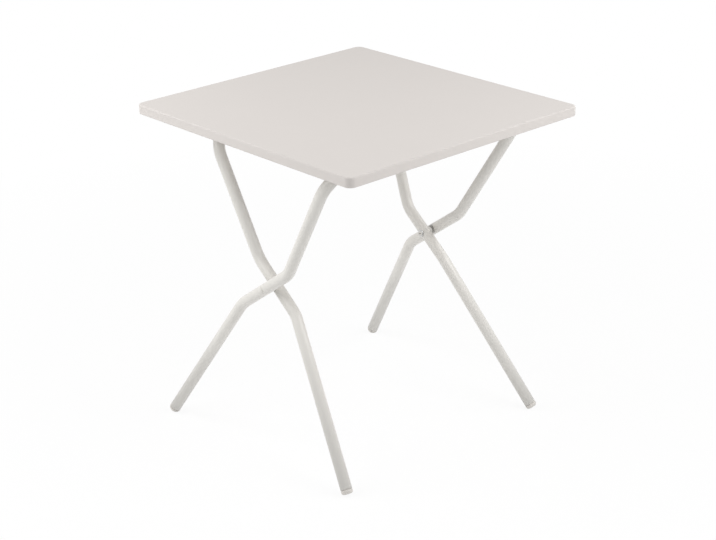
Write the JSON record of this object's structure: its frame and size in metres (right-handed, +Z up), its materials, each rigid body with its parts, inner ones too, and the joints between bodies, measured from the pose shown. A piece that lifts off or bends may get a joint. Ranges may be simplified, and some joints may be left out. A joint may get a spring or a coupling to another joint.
{
  "type": "folding balcony table",
  "caption": "Small folding table: a flat pressed-steel top on crossed bent-tube leg frames, hinged on a crossbar and hooked over its twin.",
  "frame": {"origin": "on the floor below the middle of the tabletop", "axes": "+Z up through the tabletop, +X along the two crossbars, +Y from the hinged crossbar to the hooked one"},
  "size_m": [0.64, 0.68, 0.72],
  "materials": {
    "sheet_coat": "satin light warm-grey powder coat",
    "tube_coat": "satin light warm-grey powder coat",
    "cap_plastic": "moulded, light warm grey",
    "spacer_nylon": "moulded, natural white",
    "fitting_plastic": "moulded, light warm grey",
    "rivet_steel": "satin, coated like the tubes",
    "zinc_steel": "zinc plated"
  },
  "bodies": {
    "outer_frame": {"outer_leg_frame": "tube_coat", "outer_foot_cap_left": "cap_plastic", "outer_foot_cap_right": "cap_plastic", "pivot_rivet_left": "rivet_steel", "pivot_rivet_right": "rivet_steel", "pivot_spacer_left": "spacer_nylon", "pivot_spacer_right": "spacer_nylon", "pivot_washer_left": "zinc_steel", "pivot_washer_right": "zinc_steel"},
    "inner_frame": {"inner_leg_frame": "tube_coat", "inner_foot_cap_left": "cap_plastic", "inner_foot_cap_right": "cap_plastic"},
    "table_top": {"top_tray": "sheet_coat", "stiffener_rail_left": "sheet_coat", "stiffener_rail_right": "sheet_coat", "bearing_block_left": "fitting_plastic", "bearing_block_right": "fitting_plastic", "bearing_strap_left": "zinc_steel", "bearing_strap_right": "zinc_steel", "latch_hook_left": "fitting_plastic", "latch_hook_right": "fitting_plastic", "bearing_screws": "zinc_steel", "hook_screws": "zinc_steel", "rail_nuts": "zinc_steel"}
  },
  "joints": [
    {"name": "leg_fold", "type": "hinge", "parent": "outer_frame", "child": "inner_frame", "pos_m": [0, 0.016, 0.368], "axis": [1, 0, 0], "range_deg": [0, 75]},
    {"name": "top_tip", "type": "hinge", "parent": "outer_frame", "child": "table_top", "pos_m": [0, -0.2315, 0.6935], "axis": [1, 0, 0], "range_deg": [0, 67.5]}
  ],
  "couplings": [
    {"joint": "top_tip", "follows": "leg_fold", "ratio": 0.9}
  ]
}
